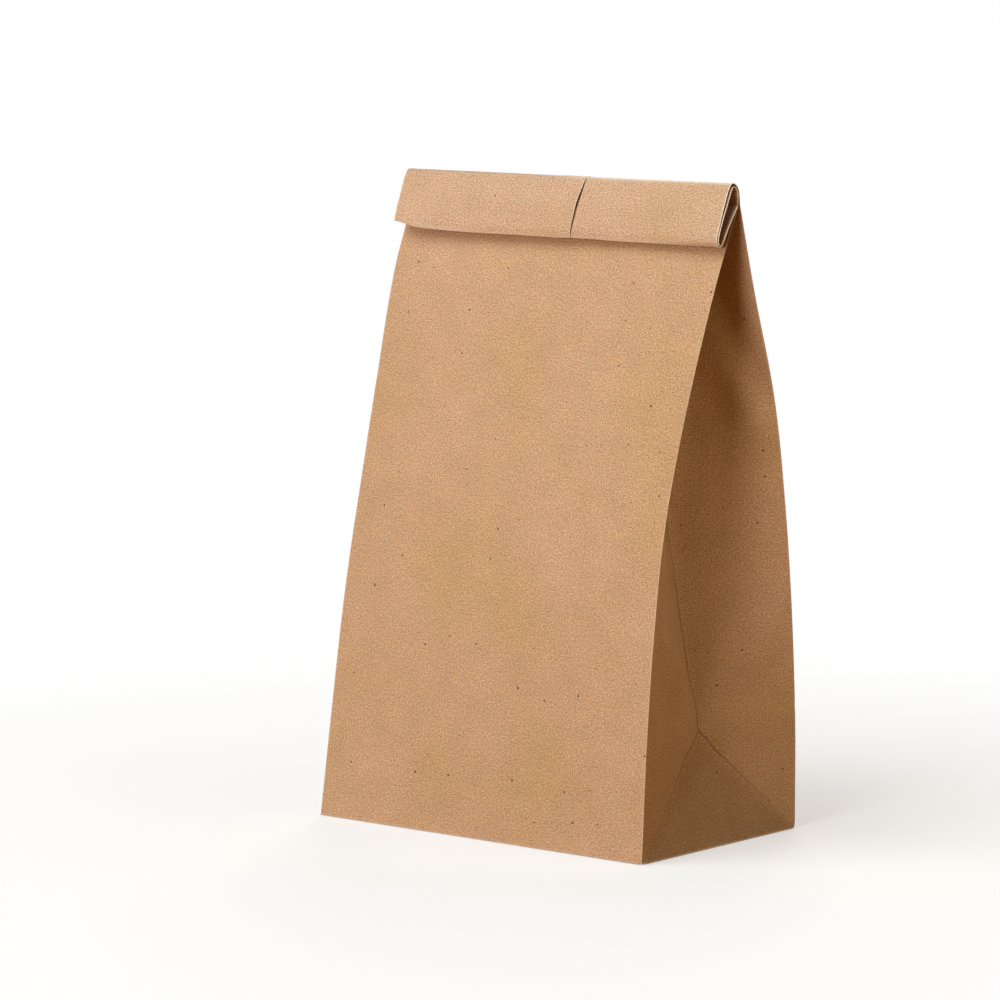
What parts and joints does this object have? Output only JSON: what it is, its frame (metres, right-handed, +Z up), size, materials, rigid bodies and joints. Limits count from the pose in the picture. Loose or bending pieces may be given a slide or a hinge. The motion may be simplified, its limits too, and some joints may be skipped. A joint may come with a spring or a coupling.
{
  "type": "paper lunch bag",
  "caption": "Square-based brown kraft paper bag, standing, with V-folded side gussets and its mouth pinched flat and rolled forward once.",
  "frame": {"origin": "middle of the rectangle of the base, on the surface that the bag stands on", "axes": "+Z up, +X to the right and -Y forward, towards a person who faces the panel that the top is rolled onto"},
  "size_m": [0.1524, 0.092, 0.2392],
  "materials": {
    "kraft_paper": "unbleached brown kraft paper, matte, with fine fibres and small dark specks"
  },
  "bodies": {
    "root": {"paper_bag": "kraft_paper"}
  },
  "joints": []
}
